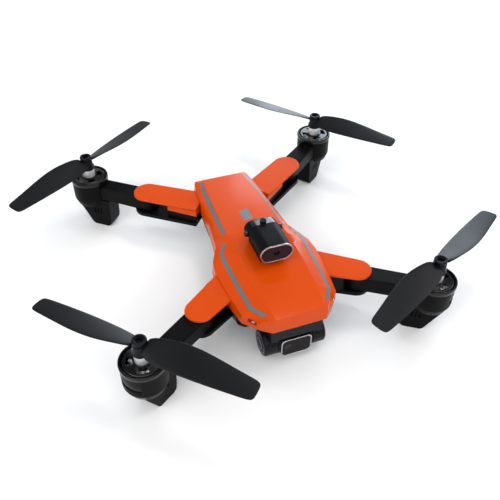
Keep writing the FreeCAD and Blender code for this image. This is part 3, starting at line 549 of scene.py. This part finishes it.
def finish(look):
    """The finished material of a material slot or of a look of its own."""
    name = "finish_" + look
    if name in bpy.data.materials:
        return bpy.data.materials[name]
    paint = bpy.context.scene.quad_colours
    mask_green = (0.012, 0.09, 0.035)
    makers = {
        "orange_shell": lambda: moulded(
            name, paint.shell, 0.25, 0.32, grain=1500.0, depth=0.02, coat=0.2, coat_rough=0.12, marks=0.04,
            spread=0.03, cloud=24.0, specular=0.075),
        "black_shell": lambda: moulded(
            name, paint.plastic, 0.36, 0.48, grain=2800.0, depth=0.2, marks=0.04, spread=0.2, specular=0.07),
        "black_gloss": lambda: moulded(
            name, paint.gloss, 0.12, 0.24, depth=0.03, coat=0.15, coat_rough=0.06, marks=0.08, specular=0.25),
        "blade_black": lambda: moulded(
            name, paint.blade, 0.36, 0.48, grain=1800.0, depth=0.12, marks=0.06, spread=0.15, specular=0.20),
        "camera_satin": lambda: moulded(
            name, (0.0044, 0.0047, 0.0068), 0.3, 0.42, grain=2800.0, depth=0.12, marks=0.04, spread=0.2,
            specular=0.16),
        "grey_stripe": lambda: moulded(name, paint.stripe, 0.32, 0.42, depth=0.08, marks=0.1, spread=0.08),
        "inlay_grey": lambda: moulded(
            name, paint.stripe, 0.36, 0.46, grain=2200.0, depth=0.12, marks=0.1, spread=0.1),
        "light_lens": lambda: glassy(name, (0.24, 0.010, 0.014), 0.10, 0.18, coat=0.1, specular=0.12),
        "lamp_window": lambda: glassy(name, (0.004, 0.004, 0.005), 0.12, 0.2, coat=0.1, specular=0.12),
        "dark_glass": lambda: glassy(name, paint.window, 0.14, 0.22, coat=0.05, specular=0.14),
        "camera_glass": lambda: glassy(name, (0.010, 0.0085, 0.008), 0.14, 0.22, coat=0.0, specular=0.10),
        "lens_glass": lambda: glassy(name, (0.002, 0.003, 0.006), 0.02, 0.05, coat=0.15, specular=0.2),
        "silver_trim": lambda: lined_metal(name, (0.48, 0.48, 0.50), 0.2, 0.3, "Z", 900.0),
        "sleeve_metal": lambda: lined_metal(name, (0.88, 0.90, 0.95), 0.26, 0.38, "Z", 1400.0, metallic=0.55),
        "steel": lambda: lined_metal(name, (0.82, 0.83, 0.86), 0.24, 0.36, "Z", 1400.0),
        "stator_metal": lambda: lined_metal(name, (0.86, 0.86, 0.88), 0.28, 0.4, "Z", 1200.0),
        "contact_brass": lambda: lined_metal(name, (0.78, 0.56, 0.22), 0.18, 0.3, "X", 1400.0),
        "bell_metal": lambda: moulded(
            name, (0.012, 0.012, 0.013), 0.2, 0.32, grain=3000.0, depth=0.06, coat=0.3, marks=0.15,
            metallic=0.3),
        "cell_foil": lambda: moulded(
            name, (0.6, 0.61, 0.63), 0.2, 0.36, grain=260.0, depth=0.35, distance=0.2 * MM, metallic=1.0),
        "circuit_green": lambda: board_material(name, mask_green),
    }
    return makers[look]()


# ---- operators ----------------------------------------------------------------------
class QUAD_OT_shells(bpy.types.Operator):
    """Round the edges of the orange and black body shells and of the battery"""

    bl_idname = "quad.shells"
    bl_label = "Body shells"

    def execute(self, context):
        shape = context.scene.quad_shape
        segments = shape.round_segments
        top = merged_copy("top_shell", "canopy_and_tabs")
        round_edges(top, shape.shell_round, segments, sharp=24, keep_clear=("flank_stripes", "nose_lights"))
        stand_for(top, "top_shell")
        lid = merged_copy("battery_lid", "battery_deck")
        round_edges(lid, shape.shell_round * 0.7, segments, sharp=16, shortest=0.004,
                    keep_clear=("battery_stripes", "deck_inlay"))
        stand_for(lid, "battery_lid")
        tub = merged_copy("bottom_shell", "tub_and_lugs")
        round_edges(tub, shape.shell_round * 0.6, segments, sharp=30)
        stand_for(tub, "bottom_shell")
        case = merged_copy("battery_case", "battery_body")
        round_edges(case, shape.fine_round, 2, sharp=40)
        stand_for(case, "battery_case")
        return {"FINISHED"}


class QUAD_OT_arms(bpy.types.Operator):
    """Round the edges of the four fold arms and their landing feet"""

    bl_idname = "quad.arms"
    bl_label = "Arms and feet"

    def execute(self, context):
        shape = context.scene.quad_shape
        slot_floor, past_wall = 11.65 * MM, 13.4 * MM
        glass_inner, glass_outer, glass_edge = 11.5 * MM, 11.85 * MM, 0.08 * MM
        cutter = self.sector("slot_cutter", slot_floor, past_wall)
        glass = soften(self.sector("slot_glass", glass_inner, glass_outer), glass_edge)
        for corner in CORNERS:
            arm = merged_copy("arm_" + corner, "boom_" + corner)
            out = corner_axis(corner) - pin_axis(corner)
            place = Matrix.Translation(corner_axis(corner)) @ Matrix.Rotation(math.atan2(out.y, out.x), 4, "Z")
            self.hollow_out(arm, twin(cutter, "cutter", place))
            round_edges(arm, shape.arm_round, shape.round_segments, sharp=30)
            stand_for(arm, "arm_" + corner)
            fit_on(twin(glass, "pod_slot_glass_" + corner, place), "arm_" + corner, "lamp_window")
            foot = merged_copy("foot_" + corner, "landing_leg_" + corner)
            round_edges(foot, shape.arm_round * 0.8, shape.round_segments, sharp=30)
            stand_for(foot, "foot_" + corner)
        remove((cutter, glass))
        return {"FINISHED"}

    def sector(self, name, inner, outer):
        """A stretch of the pod's wall to either side of X, as high as the lamp slot."""
        low, high, half_spread = 9.4 * MM, 13.4 * MM, math.radians(36)
        bpy.ops.object.select_all(action="DESELECT")
        bpy.ops.mesh.primitive_plane_add(size=1, rotation=(math.pi / 2, 0, 0),
                                         location=((inner + outer) / 2, 0, (low + high) / 2))
        piece = bpy.context.object
        piece.name = name
        piece.scale = (outer - inner, high - low, 1)
        settle(piece)
        edit(piece, "FACE")
        bpy.ops.mesh.select_all(action="SELECT")
        bpy.ops.mesh.spin(steps=18, angle=2 * half_spread, center=(0, 0, 0), axis=(0, 0, 1))
        bpy.ops.mesh.select_all(action="SELECT")
        bpy.ops.mesh.normals_make_consistent(inside=False)
        leave_edit(piece)
        middle = sum((vert.co for vert in piece.data.vertices), Vector())
        piece.data.transform(Matrix.Rotation(-math.atan2(middle.y, middle.x), 4, "Z"))
        return piece

    def hollow_out(self, piece, cutter):
        """Cuts the cutter's shape out of a piece and removes the cutter."""
        recess = piece.modifiers.new("recess", "BOOLEAN")
        recess.operation = "DIFFERENCE"
        recess.solver = "EXACT"
        recess.object = cutter
        select_only(piece)
        bpy.ops.object.modifier_apply(modifier="recess")
        bpy.data.objects.remove(cutter)


class QUAD_OT_motors(bpy.types.Operator):
    """Soften the motor bells and wind wire round the teeth inside them"""

    bl_idname = "quad.motors"
    bl_label = "Motors"

    teeth = 9
    turns_per_tooth = 5

    def execute(self, context):
        shape = context.scene.quad_shape
        band_inner, band_outer, band_height, band_edge = 11.25 * MM, 12.62 * MM, 2.75 * MM, 0.55 * MM
        washer_inner, washer_outer, washer_height, washer_edge = 3.8 * MM, 5.2 * MM, 0.8 * MM, 0.2 * MM
        sleeve_inner, sleeve_outer, sleeve_height, sleeve_edge = 3.7 * MM, 4.15 * MM, 6.4 * MM, 0.3 * MM
        cover_depth, coils_below_top = 1.5 * MM, 3.3 * MM
        band = soften(ring("band", band_inner, band_outer, 0, band_height), band_edge, 3)
        washer = soften(ring("washer", washer_inner, washer_outer, 0, washer_height), washer_edge)
        sleeve = soften(ring("sleeve", sleeve_inner, sleeve_outer, 0, sleeve_height), sleeve_edge)
        coils = self.coils(shape.wire_thickness)
        for corner in CORNERS:
            arm, shaft, stator = "arm_" + corner, "motor_shaft_" + corner, "stator_" + corner
            bell_node = "motor_bell_" + corner
            axis = corner_axis(corner)
            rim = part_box("arm_" + corner)[1].z
            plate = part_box("motor_bell_" + corner)[1].z
            bell = merged_copy(bell_node, "bell_" + corner)
            pick_points(bell, lambda place: place.z > plate - cover_depth)
            bpy.ops.transform.translate(value=(0, 0, shape.bell_lift))
            leave_edit(bell)
            round_edges(bell, shape.fine_round, 2, sharp=30, shortest=0.4 * MM)
            stand_for(bell, bell_node)
            lid = plate + shape.bell_lift
            fit_on(twin(band, "pod_band_" + corner, lifted(axis, rim - 2.7 * MM)), arm, "black_gloss")
            fit_on(twin(washer, "bell_washer_" + corner, lifted(axis, lid - 0.1 * MM)), bell_node, "bell_metal")
            fit_on(twin(sleeve, "bright_sleeve_" + corner, lifted(axis, lid + 0.4 * MM)), shaft, "steel",
                   "sleeve_metal")
            spin = Matrix.Rotation(self.tooth_angle(stator, axis), 4, "Z")
            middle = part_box("stator_" + corner)[1].z - coils_below_top
            fit_on(twin(coils, "windings_" + corner, lifted(axis, middle) @ spin), stator, "stator_metal")
        remove((band, washer, sleeve, coils))
        return {"FINISHED"}

    def coils(self, wire):
        """Turns of wire round each tooth, about the middle of the stator."""
        core_radius, half_stretch, first_turn = 1.5 * MM, 2.2 * MM, 5.2 * MM
        bpy.ops.object.select_all(action="DESELECT")
        bpy.ops.mesh.primitive_torus_add(major_radius=core_radius + wire / 2, minor_radius=wire / 2,
                                         major_segments=16, minor_segments=6, rotation=(0, math.pi / 2, 0))
        turn = bpy.context.object
        settle(turn)
        for side in (1, -1):
            pick_points(turn, lambda place: place.z * side > 0.01 * MM)
            bpy.ops.transform.translate(value=(0, 0, side * half_stretch))
        leave_edit(turn)
        turns = [twin(turn, "turn", Matrix.Translation((first_turn + step * wire, 0, 0)))
                 for step in range(self.turns_per_tooth)]
        tooth = join(turns, "tooth")
        teeth = [twin(tooth, "tooth", Matrix.Rotation(index * 2 * math.pi / self.teeth, 4, "Z"))
                 for index in range(self.teeth)]
        remove((turn, tooth))
        whole = join(teeth, "coils")
        smooth(whole, 80)
        return whole

    def tooth_angle(self, node, axis):
        """Where the first tooth points, from the outer corners of all teeth."""
        corner_radius = 8.75 * MM
        lean = Vector((0, 0))
        for vert in nodes[node].data.vertices:
            out = vert.co.xy - axis.xy
            if out.length > corner_radius:
                angle = self.teeth * math.atan2(out.y, out.x)
                lean += Vector((math.cos(angle), math.sin(angle)))
        return math.atan2(lean.y, lean.x) / self.teeth


class QUAD_OT_propellers(bpy.types.Operator):
    """Shape the hub and the two blades of each propeller"""

    bl_idname = "quad.propellers"
    bl_label = "Propellers"

    def execute(self, context):
        shape = context.scene.quad_shape
        for corner in CORNERS:
            hand = 1.0 if corner in ("front_left", "rear_right") else -1.0
            low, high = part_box("propeller_" + corner)
            axis = corner_axis(corner)
            reach = blade_reach("propeller_" + corner, axis)
            one = self.blade(shape, hand, reach.length)
            other = twin(one, "other_blade", Matrix.Rotation(math.pi, 4, "Z"))
            hub = join([self.hub(low.z, high.z), one, other], "rotor_blades_" + corner)
            turn = math.atan2(reach.y, reach.x)
            hub.data.transform(Matrix.Translation(axis) @ Matrix.Rotation(turn, 4, "Z"))
            smooth(hub, 40)
            stand_for(hub, "propeller_" + corner)
        return {"FINISHED"}

    def blade(self, shape, hand, reach):
        """One blade along X: a short rod whose end is drawn out, widened, swept and twisted."""
        # share of the reach, share of the widest chord, thickness, pitch in degrees and sweep
        rows = (
            (0.09, 0.74, 1.9, 25, 0.0), (0.14, 0.83, 1.7, 24, 0.1), (0.21, 0.93, 1.5, 22, 0.4),
            (0.31, 1.01, 1.3, 19, 0.9), (0.43, 1.02, 1.2, 16, 1.0), (0.56, 0.97, 1.1, 13, 0.8),
            (0.69, 0.88, 1.0, 11, 0.4), (0.80, 0.79, 0.9, 9, 0.1), (0.90, 0.72, 0.8, 8, -0.1),
            (0.95, 0.66, 0.7, 7, -0.2), (0.97, 0.56, 0.6, 7, -0.3), (0.98, 0.36, 0.5, 7, -0.3))
        rod_middle, rod_half, root_pitch = 3.4 * MM, 0.2 * MM, 24
        blade_height = 32.6 * MM
        bpy.ops.object.select_all(action="DESELECT")
        bpy.ops.mesh.primitive_cylinder_add(vertices=12, radius=0.5, depth=2 * rod_half, end_fill_type="NGON",
                                            location=(rod_middle, 0, 0), rotation=(0, math.pi / 2, 0))
        piece = bpy.context.object
        settle(piece)
        edit(piece, "FACE")
        bpy.ops.mesh.select_all(action="SELECT")
        chord = shape.blade_root_chord
        thick = 2.0 * MM
        bpy.ops.transform.resize(value=(1, chord, thick), center_override=(rod_middle, 0, 0))
        sweep = 0.0
        x = rod_middle + rod_half
        for share, width, depth, pitch, offset in rows:
            pick_faces(piece, lambda face: face.normal.x > 0.9)
            new_x = share * reach
            new_chord = width * shape.blade_wide_chord
            bpy.ops.mesh.extrude_region_move(
                TRANSFORM_OT_translate={"value": (new_x - x, (offset * MM - sweep) * hand, 0)})
            bpy.ops.transform.resize(value=(1, new_chord / chord, depth * MM / thick),
                                     center_override=(new_x, offset * MM * hand, 0))
            x, chord, thick, sweep = new_x, new_chord, depth * MM, offset * MM
        sections = [(rod_middle - rod_half, root_pitch), (rod_middle + rod_half, root_pitch)]
        sections += [(row[0] * reach, row[3]) for row in rows]
        for along, pitch in sections:
            pick_points(piece, lambda place: abs(place.x - along) < 0.02 * MM)
            bpy.ops.transform.rotate(value=math.radians(-pitch * hand), orient_axis="X",
                                     center_override=(along, 0, 0))
        leave_edit(piece)
        piece.data.transform(Matrix.Translation((0, 0, blade_height)))
        finer = piece.modifiers.new("finer", "SUBSURF")
        finer.levels = 2
        finer.render_levels = 2
        select_only(piece)
        bpy.ops.object.modifier_apply(modifier="finer")
        return piece

    def hub(self, low, high):
        """Stepped cap with a flared foot and a deep socket for its screw."""
        tall = high - low
        foot_radius, foot_share = 4.7 * MM, 0.20
        steps = ((0.14, 3.95), (0.36, 3.95), (0.0, 3.5), (0.05, 3.5), (0.0, 3.9), (0.20, 3.9), (0.05, 3.5),
                 (0.0, 2.4), (-0.08, 2.4), (0.0, 1.9), (-0.16, 1.9))
        piece = turned("hub", foot_radius, foot_share * tall,
                       [(rise * tall, radius * MM) for rise, radius in steps])
        soften(piece, 0.25 * MM)
        piece.data.transform(Matrix.Translation((0, 0, low)))
        return piece


class QUAD_OT_camera_and_sensor(bpy.types.Operator):
    """Round the tilting camera, its mount and the obstacle sensor"""

    bl_idname = "quad.camera_and_sensor"
    bl_label = "Camera and sensor"

    def execute(self, context):
        shape = context.scene.quad_shape
        fine = shape.fine_round
        self.sensor(shape, fine)
        self.camera(fine)
        for node, name in (("power_button", "button_cap"), ("battery_latch", "latch_slider")):
            piece = merged_copy(node, name)
            round_edges(piece, fine, 2, sharp=30, shortest=0.0003)
            stand_for(piece, node)
        return {"FINISHED"}

    def sensor(self, shape, fine):
        """Hood with a sloping rear end, its buttons, and the eye in its window."""
        slope_length, button_sink = 8 * MM, 0.7 * MM
        low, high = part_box("sensor_housing")
        slope_start = high.y - slope_length
        hood = merged_copy("sensor_housing", "sensor_hood")
        edit(hood, "FACE")
        bpy.ops.mesh.select_all(action="SELECT")
        bpy.ops.mesh.bisect(plane_co=(0, slope_start, 0), plane_no=(0, 1, 0))
        pick_points(hood, lambda place: place.y > slope_start + 1 * MM)
        tall = high.z - low.z
        fall = (tall - shape.hood_slope) / tall
        bpy.ops.transform.resize(value=(1, 1, fall), center_override=(0, high.y, low.z))
        leave_edit(hood)
        self.hood_panel(hood, slope_start, high)
        round_edges(hood, fine * 1.6, 2, sharp=30, shortest=0.3 * MM)
        stand_for(hood, "sensor_housing")
        buttons = merged_copy("sensor_knobs", "sensor_buttons")
        pick_points(buttons, lambda place: abs(place.z - high.z) < 0.05 * MM)
        bpy.ops.transform.translate(value=(0, 0, -button_sink))
        leave_edit(buttons)
        round_edges(buttons, fine * 1.6, 2, sharp=30, shortest=0.3 * MM)
        stand_for(buttons, "sensor_knobs")
        rim = merged_copy("sensor_bezel", "sensor_rim")
        round_edges(rim, fine * 0.6, 2, sharp=30, shortest=0.3 * MM)
        stand_for(rim, "sensor_bezel")
        self.eye()

    def eye(self):
        """Stepped and domed lens in the sensor's window."""
        eye_radius, body_height, set_back = 1.88 * MM, 1.0 * MM, 1.45 * MM
        low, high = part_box("sensor_window")
        steps = in_mm((0, 1.45), (-0.35, 1.3), (0, 1.0), (0.3, 0.9), (0.15, 0.6), (0.05, 0.2))
        eye = turned("sensor_eye", eye_radius, body_height, steps)
        smooth(eye, 50)
        eye.data.transform(facing((0, -1, 0), (0, low.y + set_back, (low.z + high.z) / 2)))
        fit_on(eye, "sensor_window", "lens_glass")

    def hood_panel(self, hood, slope_start, high):
        """Polished panel laid over the sloping end of the hood."""
        half_width, rear_margin, thickness = 7.0 * MM, 1.3 * MM, 0.14 * MM
        slope_end = high.y - rear_margin
        panel = twin(hood, "hood_panel", Matrix())
        edit(panel, "FACE")
        for place, across in (((0, slope_end, 0), (0, 1, 0)), ((half_width, 0, 0), (1, 0, 0)),
                              ((-half_width, 0, 0), (1, 0, 0))):
            bpy.ops.mesh.select_all(action="SELECT")
            bpy.ops.mesh.bisect(plane_co=place, plane_no=across)

        def outside(face):
            middle = face.calc_center_median()
            on_slope = slope_start < middle.y < slope_end and face.normal.z > 0.3
            return not (on_slope and abs(middle.x) < half_width)

        pick_faces(panel, outside)
        bpy.ops.mesh.delete(type="FACE")
        leave_edit(panel)
        wall = panel.modifiers.new("wall", "SOLIDIFY")
        wall.thickness = thickness
        wall.offset = 1.0
        select_only(panel)
        bpy.ops.object.modifier_apply(modifier="wall")
        smooth(panel, 40)
        fit_on(panel, "sensor_housing", "black_gloss")

    def camera(self, fine):
        """Rounded yoke, head and face, with a stepped lens and ringed ends."""
        for node, name, width, look in (("camera_mount", "camera_yoke", fine * 2.4, "camera_satin"),
                                        ("camera_head", "camera_body", fine * 2.4, "camera_satin"),
                                        ("camera_trim", "camera_rim", fine * 0.6, None),
                                        ("camera_plate", "camera_face", fine * 0.6, "camera_glass")):
            piece = merged_copy(node, name)
            round_edges(piece, width, 3, sharp=30, shortest=0.3 * MM)
            stand_for(piece, node, look)
        lens_inner, lens_outer, lens_height = 1.9 * MM, 2.5 * MM, 0.5 * MM
        low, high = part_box("camera_lens")
        lens = soften(ring("lens_ring", lens_inner, lens_outer, 0, lens_height), 0.12 * MM)
        lens.data.transform(facing((0, -1, 0), ((low.x + high.x) / 2, low.y + 0.3 * MM, (low.z + high.z) / 2)))
        fit_on(lens, "camera_plate", "black_gloss")
        self.end_caps()

    def end_caps(self):
        """A bead, a boss and a small rimmed dish on each end cap of the camera's yoke; the dish's darker
        plastic is painted shade standing for a hole.
        """
        bead_inner, bead_outer, boss_radius, proud, sunk = 5.7 * MM, 6.5 * MM, 3.9 * MM, 0.16 * MM, 0.3 * MM
        cap_radius, hole_from_middle, hole_lift = 8.3 * MM, 14.3 * MM, math.radians(25)
        hole_radius, hole_rim = 0.8 * MM, 1.25 * MM
        low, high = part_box("camera_mount")
        axis_y, axis_z = self.tilt_axis()
        bead = soften(ring("end_bead", bead_inner, bead_outer, -sunk, proud), 0.1 * MM)
        boss = turned("end_boss", boss_radius, sunk, in_mm((0.16, 3.7), (0, 2.6), (-0.3, 2.5)))
        soften(boss, 0.08 * MM)
        rim = soften(ring("cap_hole_rim", hole_radius, hole_rim, -0.2 * MM, 0.1 * MM, 32), 0.08 * MM)
        # painted shade: a shallow dish of darker, duller black plastic stands in for the dark inside of a hole
        hole_shade_dish = turned("cap_hole", 0.9 * MM, 0.06 * MM, in_mm((0, 0.7), (-0.05, 0.6)), 32)
        out = Vector((0, -math.cos(hole_lift), math.sin(hole_lift)))
        for side, word in ((-1, "left"), (1, "right")):
            end = (low.x if side < 0 else high.x) + side * (0.02 * MM - proud)
            at_end = facing((side, 0, 0), (end, axis_y, axis_z))
            on_cap = facing(out, Vector((side * hole_from_middle, axis_y, axis_z)) + out * cap_radius)
            for piece, name, place, slot in ((bead, "end_bead_", at_end, "black_gloss"),
                                             (boss, "end_boss_", at_end, "black_gloss"),
                                             (rim, "cap_hole_rim_", on_cap, "black_gloss"),
                                             (hole_shade_dish, "cap_hole_", on_cap, "black_shell")):
                fit_on(twin(piece, name + word, place), "camera_mount", slot)
        remove((bead, boss, rim, hole_shade_dish))

    def tilt_axis(self):
        """Where the camera tilts: the middle of its round end caps."""
        verts = nodes["camera_mount"].data.vertices
        widest = max(vert.co.x for vert in verts)
        ends = [vert.co for vert in verts if vert.co.x > widest - 0.01 * MM]
        ys, zs = [co.y for co in ends], [co.z for co in ends]
        return (min(ys) + max(ys)) / 2, (min(zs) + max(zs)) / 2


class QUAD_OT_cheek_lights(bpy.types.Operator):
    """Set a small domed reflector in each light of the nose"""

    bl_idname = "quad.cheek_lights"
    bl_label = "Cheek lights"

    def execute(self, context):
        turn_out, sunk, squash = math.radians(35), 0.3 * MM, (1.1, 0.6, 1, 1)
        tree = face_tree("nose_lights")
        steps = in_mm((0.22, 1.0), (0.16, 0.8), (0.10, 0.5), (0.03, 0.2))
        dome = turned("cheek_dome", 1.1 * MM, sunk, steps, 32)
        smooth(dome, 60)
        for side, word in ((-1, "left"), (1, "right")):
            own = [v.co for v in nodes["nose_lights"].data.vertices if v.co.x * side > 0]
            middle = sum(own, Vector()) / len(own)
            out = Vector((side * math.sin(turn_out), -math.cos(turn_out), 0))
            spot = tree.ray_cast(middle + out * 20 * MM, -out)[0]
            place = facing(out, spot - out * sunk) @ Matrix.Diagonal(squash)
            fit_on(twin(dome, "cheek_reflector_" + word, place), "nose_lights", "silver_trim")
        remove((dome,))
        return {"FINISHED"}


class QUAD_OT_finishes(bpy.types.Operator):
    """Give every other CAD node its finished material"""

    bl_idname = "quad.finishes"
    bl_label = "Finishes"

    def execute(self, context):
        for name, node in nodes.items():
            if node.hide_render:
                continue
            node.data.materials.clear()
            node.data.materials.append(finish(node_slot(name)))
        return {"FINISHED"}


class QUAD_OT_stage(bpy.types.Operator):
    """Pale floor with a curved backdrop, soft lights and the camera"""

    bl_idname = "quad.stage"
    bl_label = "Stage"

    def execute(self, context):
        scene = context.scene
        ground = cad_box[0].z
        half, wall_height, sweep = 3.0, 3.0, 1.0
        bpy.ops.object.select_all(action="DESELECT")
        bpy.ops.mesh.primitive_plane_add(size=2 * half, location=(0, 0, ground - 0.1 * MM))
        floor = context.object
        floor.name = "studio_floor"
        mesh = edit(floor, "EDGE")
        for edge in mesh.edges:
            edge.select_set(all(v.co.y > half - 0.1 for v in edge.verts))
        bpy.ops.mesh.extrude_region_move(TRANSFORM_OT_translate={"value": (0, 0, wall_height)})
        mesh = edit(floor, "EDGE")
        for edge in mesh.edges:
            edge.select_set(all(v.co.z < 0.1 and v.co.y > half - 0.1 for v in edge.verts))
        bpy.ops.mesh.bevel(offset=sweep, segments=12, affect="EDGES")
        leave_edit(floor)
        settle(floor)
        smooth(floor, 60)
        paper = moulded("studio_paper", scene.quad_colours.floor, 0.8, 0.9, grain=600.0, depth=0.02, marks=0.0,
                        spread=0.01, cloud=4.0, specular=0.1)
        floor.data.materials.append(paper)

        world = bpy.data.worlds.new("studio_air")
        world.use_nodes = True
        world.node_tree.nodes["Background"].inputs["Color"].default_value = (0.93, 0.96, 1.0, 1)
        world.node_tree.nodes["Background"].inputs["Strength"].default_value = 0.5
        scene.world = world
        target = Vector((0, -0.025, 0.01))
        warm, warmer, cool = (1.0, 0.99, 0.97), (1.0, 0.98, 0.96), (0.78, 0.88, 1.0)
        for name, place, size, power, tint in (
                ("overhead_softbox", (-0.35, -0.75, 1.35), (1.5, 1.5), 8.0, warm),
                ("left_softbox", (-1.15, -0.5, 0.8), (0.8, 0.8), 8.0, warm),
                ("rear_window", (0.87, 1.28, 0.42), (0.95, 0.85), 15.0, cool),
                ("right_strip", (1.0, -0.1, 0.7), (0.25, 1.0), 3.0, warmer),
                ("upper_edge_strip", (0.32, 0.12, 1.16), (0.6, 0.08), 2.2, warmer),
                ("lower_edge_strip", (0.32, -1.0, 0.58), (0.6, 0.08), 1.8, warmer)):
            self.soft_light(scene, name, place, target, size, power, tint)

        self.product_camera(scene)
        scene.view_settings.view_transform = "Standard"
        return {"FINISHED"}

    def product_camera(self, scene):
        """Camera before and to the left of the nose, looking down on it."""
        data = bpy.data.cameras.new("product_camera")
        camera = bpy.data.objects.new("product_camera", data)
        scene.collection.objects.link(camera)
        back = Vector((-0.2704, -0.6978, 0.6634)).normalized()
        level = Vector((0, 0, 1)).cross(back).normalized()
        above = back.cross(level)
        roll = math.radians(0.99)
        right = level * math.cos(roll) + above * math.sin(roll)
        up = back.cross(right)
        watched, distance = Vector((0, -25.1 * MM, 18.1 * MM)), 376.2 * MM
        place = watched + back * distance
        camera.matrix_world = Matrix((
            (right.x, up.x, back.x, place.x),
            (right.y, up.y, back.y, place.y),
            (right.z, up.z, back.z, place.z),
            (0, 0, 0, 1)))
        data.lens = 44.1
        data.sensor_width = 36.0
        data.shift_x = -0.0198
        data.clip_start = 0.01
        scene.camera = camera

    def soft_light(self, scene, name, place, target, size, power, tint):
        data = bpy.data.lights.new(name, "AREA")
        data.shape = "RECTANGLE"
        data.size, data.size_y = size
        data.energy = power
        data.color = tint
        light = bpy.data.objects.new(name, data)
        light.location = place
        light.rotation_euler = (target - Vector(place)).to_track_quat("-Z", "Y").to_euler()
        scene.collection.objects.link(light)


class QUAD_PT_panel(bpy.types.Panel):
    """Sizes, colours and the steps that build the quadcopter's looks"""

    bl_idname = "QUAD_PT_panel"
    bl_label = "Folding quadcopter"
    bl_space_type = "VIEW_3D"
    bl_region_type = "UI"
    bl_category = "Quadcopter"

    def draw(self, context):
        layout = self.layout
        for settings in (context.scene.quad_shape, context.scene.quad_colours):
            box = layout.box()
            for key in settings.bl_rna.properties.keys():
                if key not in ("rna_type", "name"):
                    box.prop(settings, key)
        for operator in OPERATORS:
            layout.operator(operator.bl_idname)


OPERATORS = (QUAD_OT_shells, QUAD_OT_arms, QUAD_OT_motors, QUAD_OT_propellers, QUAD_OT_camera_and_sensor,
             QUAD_OT_cheek_lights, QUAD_OT_finishes, QUAD_OT_stage)
CLASSES = (QuadShapeSettings, QuadColourSettings) + OPERATORS + (QUAD_PT_panel,)


def register():
    for item in CLASSES:
        bpy.utils.register_class(item)
    bpy.types.Scene.quad_shape = PointerProperty(type=QuadShapeSettings)
    bpy.types.Scene.quad_colours = PointerProperty(type=QuadColourSettings)


def unregister():
    del bpy.types.Scene.quad_colours
    del bpy.types.Scene.quad_shape
    for item in reversed(CLASSES):
        bpy.utils.unregister_class(item)


def main():
    register()
    bpy.ops.quad.shells()
    bpy.ops.quad.arms()
    bpy.ops.quad.motors()
    bpy.ops.quad.propellers()
    bpy.ops.quad.camera_and_sensor()
    bpy.ops.quad.cheek_lights()
    bpy.ops.quad.finishes()
    bpy.ops.quad.stage()


if __name__ == "__main__":
    main()
